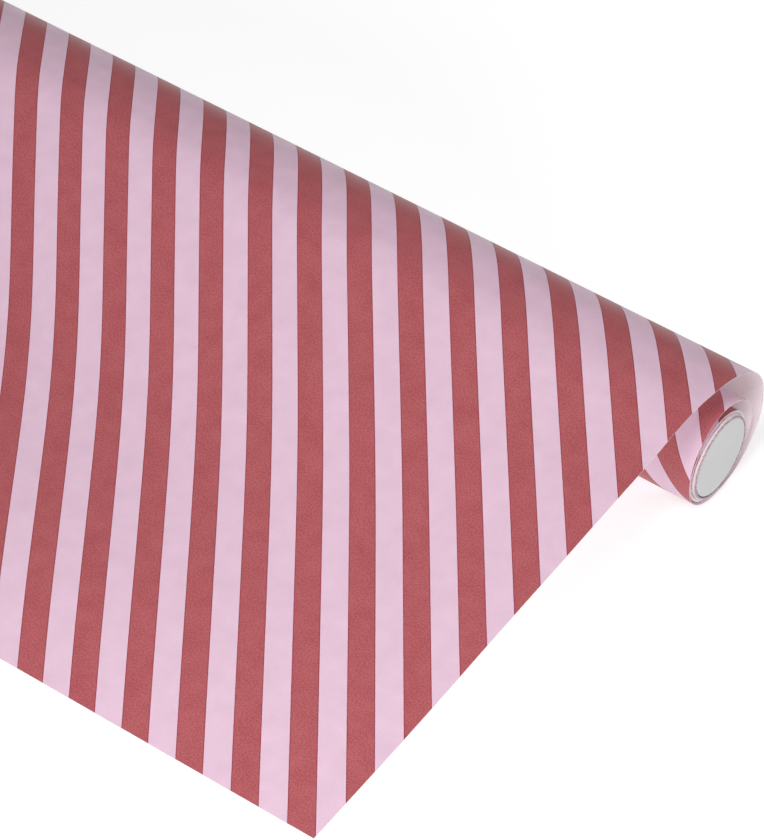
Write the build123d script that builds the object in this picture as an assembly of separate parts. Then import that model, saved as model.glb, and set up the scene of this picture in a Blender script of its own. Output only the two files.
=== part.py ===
from build123d import *
import math
import os

# A part-unrolled roll of gift wrapping paper, lying on a table.
# Millimetres. X runs along the roll, the roll's visible end at +X. The free edge of the sheet is at -Y and the
# roll at +Y. +Z is up, and the table is z = 0. The origin is on the table under the middle of the whole object.

# ---------------------------------------------------------------- driving dimensions
PAPER_WIDTH = 700.0          # width of the paper, along the roll
PAPER_THICKNESS = 0.3        # thickness given to the sheet and the loose turns

AXIS_Y = 130.5               # the roll's axis
AXIS_Z = 25.1

BORE_RADIUS = 20.1           # inside of the board tube
PLY_PITCH = 0.4              # radial step from one ply to the next, with its glue film
PLY_THICKNESS = 0.38
PLY_NAMES = ("core_inner_ply", "core_middle_ply", "core_outer_ply")
PLY_STEP = 0.35              # each ply ends this far short of the ply inside it
TUBE_SHIFT = 1.5             # how far the tube has slid out past the paper's edge, towards +X

TAPE_THICKNESS = 0.1
TAPE_CLEARANCE = 0.02
TAPE_WIDTH_DEG = 50.0
TAPE_LENGTH = 60.0           # one short piece in the middle holds the start of the paper

PACK_INNER_RADIUS = 21.45    # tight turns of paper on the tube
PACK_OUTER_RADIUS = 22.9
PACK_OUTER_SHIFT = -0.45     # the outermost tight turn has slid this far towards +X
PACK_INNER_SHIFT = 0.3       # and the innermost this far, so that the pack's ends are slightly conical

PLUG_CLEARANCE = 0.35        # mean radial clearance of a plug in the tube
PLUG_OFFSET = 0.25           # a plug sits this far off the tube's axis,
PLUG_OFFSET_DEG = 25.0       # in this direction, measured in the YZ plane from +Y towards +Z
PLUG_RECESS = 0.15           # plug face behind the tube's end
PLUG_FACE_THICKNESS = 1.4
PLUG_WALL = 1.3
PLUG_LENGTH = 14.0
PLUG_EDGE_RADIUS = 0.4
PLUG_LEAD_CHAMFER = 0.5

# Course of the paper's middle line round the roll, as (angle in degrees, distance from the axis). Angles are
# measured in the YZ plane from +Y towards +Z. The paper comes on at the top front and winds down the back.
LOOSE_COURSE = (
    (112, 51.1), (90, 45.1), (68, 42.5), (46, 41.0), (22, 38.3), (0, 35.8), (-20, 32.5), (-45, 29.0),
    (-70, 25.8), (-90, 24.7), (-120, 24.4), (-150, 24.1), (-180, 23.9), (-195, 24.7), (-210, 25.6),
    (-230, 26.4), (-250, 27.3), (-272, 27.8), (-298, 28.1), (-318, 28.3), (-335, 28.1), (-360, 27.4),
    (-390, 25.4), (-420, 24.1), (-450, 23.6), (-475, 23.5),
)
MAX_STRETCH_TURN = 50.0      # the loose turns are built in stretches that turn by no more than this

# Underside of the sheet in four sections across its width, as (y from the axis, z). Each section starts at the
# free edge. Its first stretch is straight, and the rest is a smooth curve up to the top of the roll.
SHEET_SECTIONS = {
    350.0: ((-297.4, 29.4), (-227.0, 39.0), (-171.0, 48.6), (-130.0, 55.2), (-94.0, 61.2), (-60.0, 67.0)),
    0.0: ((-287.8, 0.0), (-216.0, 9.2), (-163.0, 12.8), (-122.8, 27.1), (-87.0, 46.3), (-52.0, 63.4)),
    -200.0: ((-286.0, 0.0), (-214.0, 0.0), (-163.0, 7.0), (-122.8, 25.0), (-87.0, 46.0), (-52.0, 63.4)),
    -350.0: ((-286.0, 0.0), (-214.0, 0.0), (-163.0, 7.0), (-122.8, 25.0), (-87.0, 46.0), (-52.0, 63.4)),
}
RISE_STRETCHES = 4           # the sheet's curved part is built in this many stretches


# ---------------------------------------------------------------- helpers
def polar_point(angle, radius):
    """A point of the YZ section, as sketch coordinates (y, z)."""
    a = math.radians(angle)
    return AXIS_Y + radius * math.cos(a), AXIS_Z + radius * math.sin(a)


def section_plane(x):
    """The plane across the roll at x, whose own x is the part's Y and whose own y is the part's Z."""
    return Plane(origin=(x, 0, 0), x_dir=(0, 1, 0), z_dir=(1, 0, 0))


def band_face(plane, first_side, second_side):
    """The thin face between two curves of the section."""
    outline = Wire([
        first_side,
        Line(first_side @ 1, second_side @ 1),
        second_side,
        Line(second_side @ 0, first_side @ 0),
    ])
    return plane * Face(outline)


def axial_tube(inner_radius, outer_radius, left_x, right_x):
    """A tube on the roll's axis."""
    start = Plane(origin=(left_x, AXIS_Y, AXIS_Z), x_dir=(0, 1, 0), z_dir=(1, 0, 0))
    ring = Circle(outer_radius) - Circle(inner_radius)
    return extrude(start * ring, right_x - left_x)


# ---------------------------------------------------------------- paper
def course_curve(offset):
    """The loose turns' course, moved outwards by offset."""
    return Spline(*[polar_point(angle, radius + offset) for angle, radius in LOOSE_COURSE])


def stretch_ends():
    """Pairs of course points that bound the stretches of the loose turns."""
    ends = [LOOSE_COURSE[0]]
    for point, following in zip(LOOSE_COURSE[1:], LOOSE_COURSE[2:] + (None,)):
        if following is None or ends[-1][0] - following[0] > MAX_STRETCH_TURN:
            ends.append(point)
    return zip(ends, ends[1:])


def loose_turns():
    """The loose turns, as stretches that meet face to face."""
    half = PAPER_THICKNESS / 2
    plane = section_plane(-PAPER_WIDTH / 2)
    stretches = []
    for first, last in stretch_ends():
        sides = []
        for offset in (half, -half):
            ends = [polar_point(angle, radius + offset) for angle, radius in (first, last)]
            sides.append(course_curve(offset).trim(*ends))
        stretches.append(extrude(band_face(plane, *sides), PAPER_WIDTH, dir=(1, 0, 0)))
    return Compound(stretches)


def sheet_side(points, offset, lift):
    """One side of the sheet's section: a straight front, then a curve that runs on into the loose turns."""
    lifted = [(AXIS_Y + y, z + lift) for y, z in points]
    angle, radius = LOOSE_COURSE[0]
    front = Line(*lifted[:2])
    rise = Spline(
        *lifted[1:],
        polar_point(angle, radius + offset),
        tangents=(front % 1, course_curve(offset) % 0),
    )
    cuts = [index / RISE_STRETCHES for index in range(RISE_STRETCHES + 1)]
    return [front] + [rise.trim(start, end) for start, end in zip(cuts, cuts[1:])]


def sheet_faces(x, points):
    """The sheet's section at x, as one face for each stretch. The last ends where the loose turns begin."""
    half = PAPER_THICKNESS / 2
    over = sheet_side(points, half, PAPER_THICKNESS)
    under = sheet_side(points, -half, 0)
    plane = section_plane(x)
    return [band_face(plane, *sides) for sides in zip(over, under)]


def unrolled_sheet():
    """The sheet, as stretches that meet face to face along it and across it."""
    sections = [sheet_faces(x, points) for x, points in SHEET_SECTIONS.items()]
    stretches = []
    for near, far in zip(sections, sections[1:]):
        for faces in zip(near, far):
            stretches.append(loft(list(faces), ruled=True))
    return Compound(stretches)


def wound_paper():
    half = PAPER_WIDTH / 2
    profile = Polyline(
        (-half + PACK_OUTER_SHIFT, PACK_OUTER_RADIUS),
        (half + PACK_OUTER_SHIFT, PACK_OUTER_RADIUS),
        (half + PACK_INNER_SHIFT, PACK_INNER_RADIUS),
        (-half + PACK_INNER_SHIFT, PACK_INNER_RADIUS),
        close=True,
    )
    along_axis = Plane(origin=(0, AXIS_Y, AXIS_Z), x_dir=(1, 0, 0), z_dir=(0, -1, 0))
    return revolve(along_axis * make_face(profile), Axis((0, AXIS_Y, AXIS_Z), (1, 0, 0)), 360)


# ---------------------------------------------------------------- tube, tape and plugs
TUBE_LEFT = -PAPER_WIDTH / 2 + TUBE_SHIFT
TUBE_RIGHT = PAPER_WIDTH / 2 + TUBE_SHIFT
TUBE_OUTER_RADIUS = BORE_RADIUS + len(PLY_NAMES) * PLY_PITCH


def core_ply(index):
    inner = BORE_RADIUS + index * PLY_PITCH
    step = index * PLY_STEP
    return axial_tube(inner, inner + PLY_THICKNESS, TUBE_LEFT + step, TUBE_RIGHT - step)


def start_tape():
    inner = TUBE_OUTER_RADIUS + TAPE_CLEARANCE
    middle_x = (TUBE_LEFT + TUBE_RIGHT) / 2
    tube = axial_tube(inner, inner + TAPE_THICKNESS, middle_x - TAPE_LENGTH / 2, middle_x + TAPE_LENGTH / 2)
    reach = 2 * TUBE_OUTER_RADIUS
    half_width = math.radians(TAPE_WIDTH_DEG / 2)
    wedge = make_face(Polyline(
        (0, 0),
        (reach * math.cos(half_width), reach * math.sin(half_width)),
        (reach * math.cos(half_width), -reach * math.sin(half_width)),
        close=True,
    ))
    start = Plane(origin=(TUBE_LEFT, AXIS_Y, AXIS_Z), x_dir=(0, 1, 0), z_dir=(1, 0, 0))
    return tube & extrude(start * wedge, PAPER_WIDTH)


def end_plug(outward):
    """A moulded cup pressed into the tube's end: a flat face and a skirt. outward is +1 at +X, -1 at -X."""
    face_x = (TUBE_RIGHT if outward > 0 else TUBE_LEFT) - outward * PLUG_RECESS
    radius = BORE_RADIUS - PLUG_CLEARANCE
    plug_y, plug_z = polar_point(PLUG_OFFSET_DEG, PLUG_OFFSET)
    face_plane = Plane(origin=(face_x, plug_y, plug_z), x_dir=(0, 1, 0), z_dir=(-outward, 0, 0))
    body = extrude(face_plane * Circle(radius), PLUG_LENGTH)
    along = body.edges().filter_by(GeomType.CIRCLE).sort_by(lambda edge: outward * edge.center().X)
    body = fillet(along[-1], PLUG_EDGE_RADIUS)
    along = body.edges().filter_by(GeomType.CIRCLE).sort_by(lambda edge: outward * edge.center().X)
    body = chamfer(along[0], PLUG_LEAD_CHAMFER)
    hollow_plane = face_plane.offset(PLUG_FACE_THICKNESS)
    return body - extrude(hollow_plane * Circle(radius - PLUG_WALL), PLUG_LENGTH)


# ---------------------------------------------------------------- nodes
def main():
    os.makedirs("parts", exist_ok=True)
    nodes = {
        "unrolled_sheet": unrolled_sheet(),
        "loose_turns": loose_turns(),
        "wound_paper": wound_paper(),
        "start_tape": start_tape(),
        "right_end_plug": end_plug(1),
        "left_end_plug": end_plug(-1),
    }
    for index, name in enumerate(PLY_NAMES):
        nodes[name] = core_ply(index)
    for name, shape in nodes.items():
        export_step(shape, f"parts/{name}.step")


main()
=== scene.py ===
import math

import bpy
import numpy as np
from mathutils import Matrix, Vector


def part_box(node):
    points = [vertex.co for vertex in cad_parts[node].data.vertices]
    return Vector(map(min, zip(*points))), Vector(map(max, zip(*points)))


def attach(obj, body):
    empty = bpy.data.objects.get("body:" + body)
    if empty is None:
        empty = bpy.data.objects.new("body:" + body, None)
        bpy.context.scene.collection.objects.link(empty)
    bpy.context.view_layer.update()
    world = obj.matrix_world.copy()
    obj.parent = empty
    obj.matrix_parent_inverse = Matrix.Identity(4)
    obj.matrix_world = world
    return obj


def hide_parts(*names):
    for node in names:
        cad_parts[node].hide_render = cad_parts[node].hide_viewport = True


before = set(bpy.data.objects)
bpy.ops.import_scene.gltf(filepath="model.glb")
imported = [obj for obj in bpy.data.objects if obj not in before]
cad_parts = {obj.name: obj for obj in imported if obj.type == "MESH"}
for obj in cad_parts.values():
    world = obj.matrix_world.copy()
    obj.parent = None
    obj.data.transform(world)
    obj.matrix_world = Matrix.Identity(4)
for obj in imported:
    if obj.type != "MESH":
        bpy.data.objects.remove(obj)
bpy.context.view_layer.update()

# A part-unrolled roll of striped gift wrapping paper. Metres, in the CAD model's frame: X runs along
# the roll, the sheet's free edge is at -Y, the roll at +Y, and the table is z = 0.
MM = 0.001

# ---------------------------------------------------------------- places taken from the frame
CORE_LOW, CORE_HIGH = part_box("core_inner_ply")
PAPER_LOW, PAPER_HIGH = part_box("loose_turns")
AXIS_Y = (CORE_LOW[1] + CORE_HIGH[1]) / 2
AXIS_Z = (CORE_LOW[2] + CORE_HIGH[2]) / 2
HALF_WIDTH = (PAPER_HIGH[0] - PAPER_LOW[0]) / 2

# ---------------------------------------------------------------- the paper strip
PAPER_THICKNESS = 0.2 * MM
COLUMN_STEP = 7 * MM          # mesh spacing across the paper
SHEET_ROWS = 114              # mesh rows along the sheet, and round the loose turns
TURN_ROWS = 250
CURVE_POINTS = 4000           # points that a smooth curve is worked out at before it is evened out
SECTION_BLEND = 50 * MM       # the sheet's shape changes from section to section without a crease

# Course of the paper round the roll: (angle in degrees from +Y towards +Z, distance from the axis in mm).
LOOSE_COURSE = (
    (112, 51.1), (90, 45.1), (68, 42.5), (46, 41.0), (22, 38.3), (0, 35.8), (-20, 32.5), (-45, 29.0),
    (-70, 25.8), (-90, 24.7), (-120, 24.4), (-150, 24.1), (-180, 23.9), (-195, 24.7), (-210, 25.6),
    (-230, 26.4), (-250, 27.3), (-272, 27.8), (-298, 28.1), (-318, 28.3), (-335, 28.1), (-360, 27.4),
    (-390, 25.4), (-420, 24.1), (-450, 23.6), (-475, 23.5),
)

# Underside of the sheet at the right edge, in the middle and at the left edge: (y from the axis, z) in mm.
RIGHT_SECTION = ((-297.4, 29.4), (-227, 39.0), (-171, 48.6), (-130, 55.2), (-94, 61.2), (-60, 67.0))
MIDDLE_SECTION = (
    (-287.8, 0.0), (-262, 7.0), (-232, 9.3), (-205, 9.0), (-163, 12.8), (-122.8, 27.1),
    (-87, 46.3), (-52, 63.4),
)
LEFT_SECTION = (
    (-286, 0.0), (-262, 1.0), (-232, 2.0), (-205, 2.5), (-163, 8.0), (-122.8, 25.0),
    (-87, 46.0), (-52, 63.4),
)

# ---------------------------------------------------------------- the print
STRIPE = 14.5 * MM            # one stripe's width, measured along the roll
STRIPE_LEAN = 0.7607          # how far a stripe moves along the roll for each metre along the paper
STRIPE_START = -172.83 * MM   # a pink stripe starts this far from the right edge, at the free edge
HIDDEN_SLACK = 6.2 * MM       # more paper in the back of the loose turn than its smooth course holds
SLACK_FROM = 90 * MM          # the slack starts this far past the top of the roll
SLACK_OVER = 70 * MM          # and is spread over this length

PINK = (0.78, 0.55, 0.68)
PINK_MOTTLED = (0.73, 0.51, 0.63)
PINK_GRAIN = (0.58, 0.37, 0.50)
RED = (0.49, 0.132, 0.143)
RED_MOTTLED = (0.34, 0.066, 0.078)
INK_LAP = (0.27, 0.030, 0.055)
REVERSE = (0.86, 0.81, 0.83)
REVERSE_GLOW = 0.13           # stands in for light that comes through the paper
CUT_EDGE = (0.88, 0.82, 0.84)
SHEET_EDGE_TINT = 0.12        # share of the print's colour on a cut edge
PACK_EDGE_TINT = 0.04
SHOW_THROUGH = 0.10           # and on the paper's back

INK_WOBBLE = 0.006            # how far a stripe's edge wavers, as a share of two stripes
FEATHER = 0.06 * MM           # softness of a stripe's edge
LAP_FROM = 0.25 * MM          # darker ink where the red overlaps the pink, fading into the stripe
LAP_TO = 0.7 * MM
LAP_STRENGTH = 0.8

# ---------------------------------------------------------------- the tight pack
PACK_TURNS = 14
PACK_OUTER = 22.9 * MM
PACK_PITCH = 0.1 * MM
PACK_PAPER = 0.09 * MM
PACK_STEPS_PER_TURN = 90
PACK_SLACK = 19 * MM          # paper between the loose turns' end and the pack's first turn
# How far the turns' ends have slid towards +X, as (share of the way inwards through the pack, mm).
PACK_SLIP = ((0.0, -0.45), (0.75, -0.33), (1.0, 0.3))
PACK_UNEVEN = 0.1 * MM        # and how far single turns stray from that
UNEVEN_WAVES = (2.1, 0.37)    # the straying, in waves per turn of the spiral: a quick one times a slow one
UNEVEN_START = 0.6
OUTER_UNEVEN = 0.15           # share of it that the outermost turns have

# ---------------------------------------------------------------- board, tape and plugs
LINER_PALE = (0.88, 0.82, 0.84)
LINER_DARK = (0.80, 0.73, 0.76)
LINER_FLECK = (0.62, 0.48, 0.53)
BOARD_PALE = (0.72, 0.60, 0.64)
BOARD_DARK = (0.62, 0.48, 0.53)
BOARD_FLECK = (0.34, 0.18, 0.24)
LINER_FLECK_FROM = 0.55       # noise level above which a fleck shows: the liner has few, the board many
BOARD_FLECK_FROM = 0.44
FLECK_EDGE = 0.16
TAPE_STREAK = (0.80, 0.80, 0.74)
TAPE_CLEAR = (0.86, 0.86, 0.82)
PLUG_DARK = (0.61, 0.61, 0.61)
PLUG_PALE = (0.64, 0.64, 0.64)

# ---------------------------------------------------------------- stage and camera
FLOOR_REACH = 6.0
FLOOR_TILES = 12
FLOOR_DROP = 0.5 * MM         # the floor is just under the table plane, so that the paper doesn't cut it
FLOOR_DARK = (0.44, 0.44, 0.44)
FLOOR_PALE = (0.46, 0.46, 0.46)
GLOW_NEAR = 0.67              # the floor's own light near the roll and far from it
GLOW_FAR = 0.97
GLOW_FROM = 0.3
GLOW_TO = 0.8

WORLD_STRENGTH = 0.21
# Each light's place, the point it faces, its width and length, and its power in watts.
KEY_LIGHT = ((0.38, -0.45, 0.9), (0.15, -0.05, 0), (0.4, 0.4), 8.1)
SIDE_LIGHT = ((2.0, -1.0, 0.9), (0, -0.05, 0), (1.6, 1.0), 10)

# The camera's place, its azimuth, elevation and roll in degrees, and its lens and sensor width in mm.
CAMERA_PLACE = (0.80583, -0.81040, 0.93528)
CAMERA_AZIMUTH = 34.2185
CAMERA_ELEVATION = 41.1043
CAMERA_ROLL = 4.0275
CAMERA_LENS = 131.15
CAMERA_SENSOR = 36


# ---------------------------------------------------------------- curves
def smooth_curve(points, count, end_direction=None):
    """Count points along a smooth cubic curve through the points. Its end may be given a direction."""
    points = np.array(points, float)
    steps = np.hypot(*np.diff(points, axis=0).T)
    knots = np.concatenate([[0], np.cumsum(steps)])
    size = len(points)
    matrix, right = np.zeros((size, size)), np.zeros((size, 2))
    slopes = np.diff(points, axis=0) / steps[:, None]
    matrix[0, :2] = 2, 1
    right[0] = 3 * slopes[0]
    for i in range(1, size - 1):
        before, after = steps[i - 1], steps[i]
        matrix[i, i - 1:i + 2] = after, 2 * (before + after), before
        right[i] = 3 * (after * slopes[i - 1] + before * slopes[i])
    if end_direction is None:
        matrix[-1, -2:] = 1, 2
        right[-1] = 3 * slopes[-1]
    else:
        matrix[-1, -1] = 1
        right[-1] = end_direction
    tangents = np.linalg.solve(matrix, right)
    at = np.linspace(0, knots[-1], count)
    span = np.clip(np.searchsorted(knots, at, side="right") - 1, 0, size - 2)
    length = steps[span][:, None]
    t = ((at - knots[span]) / steps[span])[:, None]
    return (
        (1 + 2 * t) * (1 - t) ** 2 * points[span]
        + t * (1 - t) ** 2 * length * tangents[span]
        + t ** 2 * (3 - 2 * t) * points[span + 1]
        + t ** 2 * (t - 1) * length * tangents[span + 1]
    )


def arc_lengths(line):
    """Distance along a polyline, from its start to each of its points."""
    return np.concatenate([[0], np.cumsum(np.hypot(*np.diff(line, axis=0).T))])


def evenly_spaced(line, count):
    """Count points at equal steps along a polyline."""
    arc = arc_lengths(line)
    at = np.linspace(0, arc[-1], count)
    return np.stack([np.interp(at, arc, line[:, axis]) for axis in (0, 1)], 1)


def polar_point(angle, radius):
    """(y, z) of a point round the roll's axis."""
    a = math.radians(angle)
    return AXIS_Y + radius * math.cos(a), AXIS_Z + radius * math.sin(a)


def eased_ramp(x):
    """max(0, x), rounded off within SECTION_BLEND of zero."""
    eased = (x + SECTION_BLEND) ** 2 / (4 * SECTION_BLEND)
    return np.where(x < -SECTION_BLEND, 0.0, np.where(x > SECTION_BLEND, x, eased))


TURNS_LINE = smooth_curve([polar_point(angle, radius * MM) for angle, radius in LOOSE_COURSE], CURVE_POINTS)
TURNS_LENGTH = arc_lengths(TURNS_LINE)[-1]
ONTO_ROLL = (TURNS_LINE[1] - TURNS_LINE[0]) / np.linalg.norm(TURNS_LINE[1] - TURNS_LINE[0])


def sheet_line(section, count):
    """The middle of the sheet's thickness along one section, from the free edge to the top of the roll."""
    points = [(AXIS_Y + y * MM, z * MM + PAPER_THICKNESS / 2) for y, z in section]
    points.append(tuple(TURNS_LINE[0]))
    return evenly_spaced(smooth_curve(points, CURVE_POINTS, ONTO_ROLL), count)


def strip_rows(columns):
    """The strip's middle surface, [row along the paper, column across it], and each row's distance along it.

    The sheet blends from its left section through its middle one to its right one. The loose turns have one
    course for the whole width.
    """
    sections = [sheet_line(s, SHEET_ROWS) for s in (RIGHT_SECTION, MIDDLE_SECTION, LEFT_SECTION)]
    right = eased_ramp(columns) / HALF_WIDTH
    left = eased_ramp(-columns) / HALF_WIDTH
    weights = np.stack([right, 1 - right - left, left])
    sheet = np.einsum("kc,krd->rcd", weights, np.stack(sections))
    turns = evenly_spaced(TURNS_LINE, TURN_ROWS)[1:, None, :].repeat(len(columns), axis=1)
    yz = np.concatenate([sheet, turns])
    rows = np.concatenate([np.broadcast_to(columns, yz.shape[:2])[..., None], yz], axis=2)
    sheet_length = arc_lengths(sections[0])[-1]
    along = np.concatenate([
        np.linspace(0, sheet_length, SHEET_ROWS),
        sheet_length + np.linspace(0, TURNS_LENGTH, TURN_ROWS)[1:],
    ])
    return rows, along, sheet_length


# ---------------------------------------------------------------- meshes
PRINT_SIDE, REVERSE_SIDE, EDGE_SIDE = 0, 1, 2


def ribbon_mesh(name, middle, printed_at, printed_across, thickness):
    """A closed sheet of paper round a grid of middle points, [row, column].

    printed_at places each row in the print, along the paper, and printed_across each column.
    """
    rows, columns = middle.shape[:2]
    along = np.gradient(middle, axis=0)
    across = np.gradient(middle, axis=1)
    normals = np.cross(across, along)
    normals /= np.linalg.norm(normals, axis=2, keepdims=True)
    over = middle + normals * thickness / 2
    under = middle - normals * thickness / 2
    points = np.concatenate([over.reshape(-1, 3), under.reshape(-1, 3)])
    top = np.arange(rows * columns).reshape(rows, columns)
    bottom = top + rows * columns

    def quads(a, b, c, d):
        return np.stack([a.ravel(), b.ravel(), c.ravel(), d.ravel()], 1)

    def wall(upper, lower):
        """The side face that follows one border of the sheet."""
        return quads(upper[:-1], lower[:-1], lower[1:], upper[1:])

    faces = [
        quads(top[:-1, :-1], top[:-1, 1:], top[1:, 1:], top[1:, :-1]),
        quads(bottom[:-1, :-1], bottom[1:, :-1], bottom[1:, 1:], bottom[:-1, 1:]),
        wall(top[:, -1], bottom[:, -1]),
        wall(top[::-1, 0], bottom[::-1, 0]),
        wall(top[0], bottom[0]),
        wall(top[-1, ::-1], bottom[-1, ::-1]),
    ]
    sides = [PRINT_SIDE, REVERSE_SIDE] + [EDGE_SIDE] * 4
    kinds = np.concatenate([np.full(len(f), side) for f, side in zip(faces, sides)])
    faces = np.concatenate(faces)

    mesh = bpy.data.meshes.new(name)
    mesh.from_pydata(points.tolist(), [], faces.tolist())
    mesh.polygons.foreach_set("material_index", kinds)
    mesh.polygons.foreach_set("use_smooth", kinds != EDGE_SIDE)
    flat = np.stack([
        np.tile(printed_across, 2 * rows),
        np.concatenate([np.repeat(printed_at, columns)] * 2),
    ], 1)
    layer = mesh.uv_layers.new(name="flat")
    layer.data.foreach_set("uv", flat[faces.ravel()].ravel())
    mesh.update()
    edge_faces = {}
    for polygon in mesh.polygons:
        for key in polygon.edge_keys:
            edge_faces.setdefault(key, set()).add(polygon.material_index)
    sharp = [len(edge_faces[edge.key]) > 1 for edge in mesh.edges]
    mesh.edges.foreach_set("use_edge_sharp", sharp)
    return mesh


def add_piece(mesh, materials):
    """A new object in the scene, with the materials in its slots."""
    piece = bpy.data.objects.new(mesh.name, mesh)
    bpy.context.scene.collection.objects.link(piece)
    for material in materials:
        mesh.materials.append(material)
    return piece


# ---------------------------------------------------------------- material helpers
class Shader:
    """Builds one material's node tree."""

    def __init__(self, name):
        self.material = bpy.data.materials.new(name)
        self.material.use_nodes = True
        self.tree = self.material.node_tree
        self.surface = self.tree.nodes["Principled BSDF"]

    def node(self, kind, settings=None, **inputs):
        made = self.tree.nodes.new(kind)
        for key, value in (settings or {}).items():
            setattr(made, key, value)
        for key, value in inputs.items():
            self.plug(made.inputs[key], value)
        return made

    def plug(self, socket, value):
        """Links another node's output to the socket, or sets the socket's own value."""
        if isinstance(value, bpy.types.NodeSocket):
            self.tree.links.new(value, socket)
        else:
            socket.default_value = value

    def math(self, operation, *values):
        made = self.node("ShaderNodeMath", {"operation": operation})
        for socket, value in zip(made.inputs, values):
            self.plug(socket, value)
        return made.outputs[0]

    def ramp(self, value, low, high, to_low=0.0, to_high=1.0):
        made = self.node("ShaderNodeMapRange", {"clamp": True})
        for socket, entry in zip(made.inputs, (value, low, high, to_low, to_high)):
            self.plug(socket, entry)
        return made.outputs[0]

    def mix(self, factor, first, second):
        made = self.node("ShaderNodeMix", {"data_type": "RGBA"})
        self.plug(made.inputs[0], factor)
        self.plug(made.inputs[6], first)
        self.plug(made.inputs[7], second)
        return made.outputs[2]

    def noise(self, place, scale, detail=2.0, roughness=0.5):
        made = self.node("ShaderNodeTexNoise", Scale=scale, Detail=detail, Roughness=roughness)
        self.plug(made.inputs["Vector"], place)
        return made.outputs["Fac"]

    def bump(self, height, distance, strength):
        made = self.node("ShaderNodeBump", Height=height, Distance=distance, Strength=strength)
        return made.outputs["Normal"]

    def set(self, **values):
        """Sets or links the surface shader's inputs."""
        for key, value in values.items():
            self.plug(self.surface.inputs[key.replace("_", " ")], value)


def rgba(colour):
    return (*colour, 1.0)


def shade(colour, share):
    """The colour with each channel cut to a share of itself."""
    return rgba([channel * share for channel in colour])


# ---------------------------------------------------------------- print
def flat_place(shader):
    """(along the roll, along the paper) in metres, as the unrolled strip lies flat."""
    return shader.node("ShaderNodeUVMap", {"uv_map": "flat"}).outputs[0]


def stripe_depth(shader, place):
    """How far a point is inside a red stripe, in metres along the roll; negative in a pink one."""
    wobble = shader.noise(place, 1500.0, 1.0)
    turned = shader.node("ShaderNodeVectorMath", {"operation": "DOT_PRODUCT"})
    shader.plug(turned.inputs[0], place)
    turned.inputs[1].default_value = (1 / (2 * STRIPE), STRIPE_LEAN / (2 * STRIPE), 0)
    offset = -(HALF_WIDTH + STRIPE_START) / (2 * STRIPE) - 0.25
    phase = shader.math("ADD", turned.outputs["Value"], offset)
    phase = shader.math("MULTIPLY_ADD", wobble, INK_WOBBLE, phase)
    saw = shader.math("FRACT", phase)
    centred = shader.math("ABSOLUTE", shader.math("SUBTRACT", saw, 0.5))
    return shader.math("MULTIPLY", shader.math("SUBTRACT", 0.25, centred), 2 * STRIPE)


def printed_colour(shader, place):
    """Colour of the printed side: pink and red stripes, with the speckle and mottle of ink on paper."""
    depth = stripe_depth(shader, place)
    speckle = shader.noise(place, 1300.0, 3.0, 0.65)
    mottle = shader.noise(place, 90.0, 3.0, 0.55)
    pink = shader.mix(shader.ramp(mottle, 0.3, 0.7), rgba(PINK), rgba(PINK_MOTTLED))
    fine_share = shader.math("MULTIPLY", speckle, 0.8)
    coarse_share = shader.math("MULTIPLY", mottle, 0.2)
    grain = shader.math("ADD", fine_share, coarse_share)
    pink = shader.mix(shader.ramp(grain, 0.35, 0.65, 0.0, 0.22), pink, rgba(PINK_GRAIN))
    red = shader.mix(shader.ramp(grain, 0.38, 0.62), rgba(RED_MOTTLED), rgba(RED))
    lap = shader.ramp(depth, LAP_FROM, LAP_TO, LAP_STRENGTH, 0.0)
    red = shader.mix(lap, red, rgba(INK_LAP))
    return shader.mix(shader.ramp(depth, -FEATHER, FEATHER), pink, red), speckle, mottle


def print_material():
    """The printed side: satin ink over fibres and a slight cockle."""
    shader = Shader("printed_paper")
    place = flat_place(shader)
    colour, speckle, mottle = printed_colour(shader, place)
    fibres = shader.noise(place, 2600.0, 3.0, 0.7)
    cockle = shader.noise(place, 45.0, 2.0, 0.5)
    height = shader.math("MULTIPLY_ADD", fibres, 0.02, shader.math("MULTIPLY", cockle, 0.6))
    shader.set(
        Base_Color=colour,
        Roughness=shader.ramp(shader.math("ADD", speckle, mottle), 0.7, 1.3, 0.34, 0.46),
        Specular_IOR_Level=0.28,
        Normal=shader.bump(height, 0.4 * MM, 0.35),
    )
    return shader.material


def reverse_material():
    """The unprinted side, with the stripes faintly showing through and a little light from behind."""
    shader = Shader("paper_reverse")
    place = flat_place(shader)
    shown, _, mottle = printed_colour(shader, place)
    cloud = shader.noise(place, 260.0, 4.0, 0.6)
    base = shader.mix(shader.ramp(cloud, 0.3, 0.7), rgba(REVERSE), shade(REVERSE, 0.95))
    fibres = shader.noise(place, 2200.0, 3.0, 0.7)
    shader.set(
        Base_Color=shader.mix(SHOW_THROUGH, base, shown),
        Roughness=shader.ramp(mottle, 0.3, 0.7, 0.62, 0.74),
        Normal=shader.bump(fibres, 0.02 * MM, 0.3),
        Emission_Color=(1.0, 0.93, 0.96, 1.0),
        Emission_Strength=REVERSE_GLOW,
    )
    return shader.material


def edge_material(name, tint):
    """A cut edge: white paper, tinted by the ink that the cut drags over it."""
    shader = Shader(name)
    place = flat_place(shader)
    shown, speckle, _ = printed_colour(shader, place)
    white = shader.mix(shader.ramp(speckle, 0.35, 0.65), rgba(CUT_EDGE), shade(CUT_EDGE, 0.9))
    shader.set(
        Base_Color=shader.mix(tint, white, shown),
        Roughness=shader.ramp(speckle, 0.3, 0.7, 0.7, 0.85),
        Normal=shader.bump(speckle, 0.02 * MM, 0.4),
    )
    return shader.material


def object_place(shader):
    """The point in the piece's own frame, in metres."""
    return shader.node("ShaderNodeTexCoord").outputs["Object"]


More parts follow.
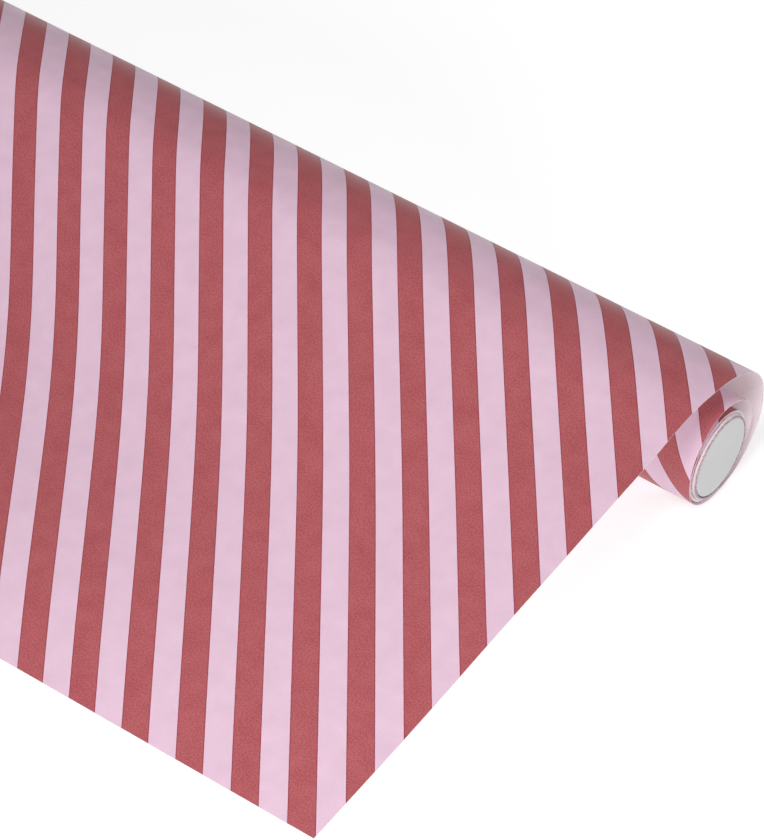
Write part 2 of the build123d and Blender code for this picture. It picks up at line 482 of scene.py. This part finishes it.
def board_material(name, pale, dark, fleck, fleck_from):
    """Tube board: matt pulp with darker flecks."""
    shader = Shader(name)
    place = object_place(shader)
    pulp = shader.noise(place, 320.0, 5.0, 0.65)
    flecks = shader.noise(place, 1700.0, 2.0, 0.6)
    base = shader.mix(shader.ramp(pulp, 0.3, 0.7), rgba(dark), rgba(pale))
    base = shader.mix(shader.ramp(flecks, fleck_from, fleck_from + FLECK_EDGE), base, rgba(fleck))
    height = shader.math("ADD", pulp, shader.math("MULTIPLY", flecks, 0.3))
    shader.set(
        Base_Color=base,
        Roughness=shader.ramp(pulp, 0.3, 0.7, 0.75, 0.9),
        Normal=shader.bump(height, 0.05 * MM, 0.4),
    )
    return shader.material


def tape_material():
    """Clear double-sided tape, with fine streaks."""
    shader = Shader("clear_tape")
    place = object_place(shader)
    streaks = shader.noise(place, 700.0, 3.0, 0.6)
    shader.set(
        Base_Color=shader.mix(shader.ramp(streaks, 0.3, 0.7), rgba(TAPE_STREAK), rgba(TAPE_CLEAR)),
        Roughness=shader.ramp(streaks, 0.3, 0.7, 0.2, 0.32),
        Normal=shader.bump(streaks, 0.01 * MM, 0.2),
    )
    return shader.material


def plug_material():
    """Moulded pale grey plastic with a fine spark-eroded texture."""
    shader = Shader("plug_plastic")
    place = object_place(shader)
    fine = shader.noise(place, 2500.0, 3.0, 0.6)
    flow = shader.noise(place, 60.0, 3.0, 0.5)
    shader.set(
        Base_Color=shader.mix(shader.ramp(flow, 0.3, 0.7), rgba(PLUG_DARK), rgba(PLUG_PALE)),
        Roughness=shader.ramp(fine, 0.3, 0.7, 0.46, 0.6),
        Normal=shader.bump(fine, 0.03 * MM, 0.35),
    )
    return shader.material


# ---------------------------------------------------------------- pieces
def make_paper(materials):
    """The sheet and the loose turns as one strip, its length, and the print's place at its inner end."""
    columns = np.linspace(-HALF_WIDTH, HALF_WIDTH, round(2 * HALF_WIDTH / COLUMN_STEP) + 1)
    middle, along, sheet_length = strip_rows(columns)
    slack_passed = np.clip((along - sheet_length - SLACK_FROM) / SLACK_OVER, 0, 1)
    printed_at = along + HIDDEN_SLACK * slack_passed
    mesh = ribbon_mesh("striped_paper", middle, printed_at, columns, PAPER_THICKNESS)
    paper = add_piece(mesh, materials)
    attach(paper, "sheet")
    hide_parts("unrolled_sheet", "loose_turns")
    return paper, along[-1], printed_at[-1]


def make_pack(materials, loose_end):
    """The tight turns as one long spiral whose inner turns have slid towards +X, and the spiral's length.

    loose_end is the print's place where the loose turns stop.
    """
    steps = PACK_TURNS * PACK_STEPS_PER_TURN
    turn = np.linspace(0, PACK_TURNS, steps + 1)
    start_angle = math.radians(LOOSE_COURSE[-1][0])
    angle = start_angle - 2 * math.pi * turn
    radius = PACK_OUTER - PACK_PAPER / 2 - PACK_PITCH * turn
    shares, slips = np.array(PACK_SLIP).T
    shift = np.interp(turn / PACK_TURNS, shares, slips * MM)
    # The straying grows through the middle of the pack and is full from 60 % of the way in.
    unevenness = PACK_UNEVEN * np.clip(2.5 * turn / PACK_TURNS - 0.5, OUTER_UNEVEN, 1)
    quick, slow = UNEVEN_WAVES
    shift += unevenness * np.sin(quick * angle + UNEVEN_START) * np.sin(slow * angle)
    shift = np.clip(shift, slips[0] * MM, slips[-1] * MM)
    ends = np.array([-HALF_WIDTH, HALF_WIDTH])
    middle = np.zeros((len(turn), 2, 3))
    middle[..., 0] = ends[None, :] + shift[:, None]
    middle[..., 1] = (AXIS_Y + radius * np.cos(angle))[:, None]
    middle[..., 2] = (AXIS_Z + radius * np.sin(angle))[:, None]
    walked = np.concatenate([[0], np.cumsum(np.abs(np.diff(angle)) * radius[1:])])
    printed_at = loose_end + PACK_SLACK + walked
    mesh = ribbon_mesh("wound_pack", middle, printed_at, ends, PACK_PAPER)
    pack = add_piece(mesh, materials)
    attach(pack, "roll")
    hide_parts("wound_paper")
    return pack, walked[-1]


def finish_cad_nodes():
    """Materials for the CAD nodes that stay visible: the tube's plies, the tape and the plugs."""
    liner = board_material("board_liner", LINER_PALE, LINER_DARK, LINER_FLECK, LINER_FLECK_FROM)
    board = board_material("tube_board", BOARD_PALE, BOARD_DARK, BOARD_FLECK, BOARD_FLECK_FROM)
    tape = tape_material()
    plastic = plug_material()
    looks = {
        "core_outer_ply": liner,
        "core_middle_ply": board,
        "core_inner_ply": board,
        "start_tape": tape,
        "right_end_plug": plastic,
        "left_end_plug": plastic,
    }
    for name, look in looks.items():
        for material_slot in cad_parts[name].material_slots:
            material_slot.material = look


# ---------------------------------------------------------------- stage, light and camera
def make_floor():
    """A pale floor that is partly lit from itself, more so away from the roll."""
    ticks = np.linspace(-FLOOR_REACH, FLOOR_REACH, FLOOR_TILES + 1)
    points = [(x, y, -FLOOR_DROP) for y in ticks for x in ticks]
    faces = []
    for row in range(FLOOR_TILES):
        for column in range(FLOOR_TILES):
            corner = row * (FLOOR_TILES + 1) + column
            beyond = corner + FLOOR_TILES + 1
            faces.append((corner, corner + 1, beyond + 1, beyond))
    mesh = bpy.data.meshes.new("floor")
    mesh.from_pydata(points, [], faces)
    shader = Shader("floor_paper")
    place = object_place(shader)
    cloud = shader.noise(place, 3.0, 2.0)
    distance = shader.node("ShaderNodeVectorMath", {"operation": "LENGTH"})
    shader.plug(distance.inputs[0], place)
    shader.set(
        Base_Color=shader.mix(cloud, rgba(FLOOR_DARK), rgba(FLOOR_PALE)),
        Roughness=0.9,
        Emission_Color=(1.0, 1.0, 1.0, 1.0),
        Emission_Strength=shader.ramp(distance.outputs["Value"], GLOW_FROM, GLOW_TO, GLOW_NEAR, GLOW_FAR),
    )
    floor = add_piece(mesh, [shader.material])


def make_light(name, place, target, size, power):
    light = bpy.data.lights.new(name, "AREA")
    light.shape = "RECTANGLE"
    light.size, light.size_y = size
    light.energy = power
    lamp = bpy.data.objects.new(name, light)
    bpy.context.scene.collection.objects.link(lamp)
    lamp.location = place
    lamp.rotation_euler = (Vector(target) - Vector(place)).to_track_quat("-Z", "Y").to_euler()


def make_world(strength):
    world = bpy.data.worlds.new("studio")
    world.use_nodes = True
    background = world.node_tree.nodes["Background"]
    background.inputs["Color"].default_value = (1, 1, 1, 1)
    background.inputs["Strength"].default_value = strength
    bpy.context.scene.world = world


def make_camera():
    """The photograph's camera."""
    azimuth, elevation, roll = (
        math.radians(angle) for angle in (CAMERA_AZIMUTH, CAMERA_ELEVATION, CAMERA_ROLL)
    )
    back = Vector((
        math.sin(azimuth) * math.cos(elevation),
        -math.cos(azimuth) * math.cos(elevation),
        math.sin(elevation),
    ))
    level = Vector((math.cos(azimuth), math.sin(azimuth), 0))
    right = level * math.cos(roll) + back.cross(level) * math.sin(roll)
    up = back.cross(right)
    camera_data = bpy.data.cameras.new("camera")
    camera_data.lens = CAMERA_LENS
    camera_data.sensor_width = CAMERA_SENSOR
    camera = bpy.data.objects.new("camera", camera_data)
    bpy.context.scene.collection.objects.link(camera)
    turn = Matrix((right, up, back)).transposed().to_4x4()
    camera.matrix_world = Matrix.Translation(CAMERA_PLACE) @ turn
    bpy.context.scene.camera = camera


# ---------------------------------------------------------------- the scene
printed, reverse = print_material(), reverse_material()
sheet_edge = edge_material("cut_edge", SHEET_EDGE_TINT)
paper, strip_length, loose_end = make_paper([printed, reverse, sheet_edge])
pack_edge = edge_material("pack_edge", PACK_EDGE_TINT)
pack, pack_length = make_pack([printed, reverse, pack_edge], loose_end)
finish_cad_nodes()
strip_length = round(float(strip_length), 3)
pack_length = round(float(pack_length), 3)

make_floor()
make_world(WORLD_STRENGTH)
make_light("key", *KEY_LIGHT)
make_light("side", *SIDE_LIGHT)
bpy.context.scene.view_settings.view_transform = "Standard"
make_camera()
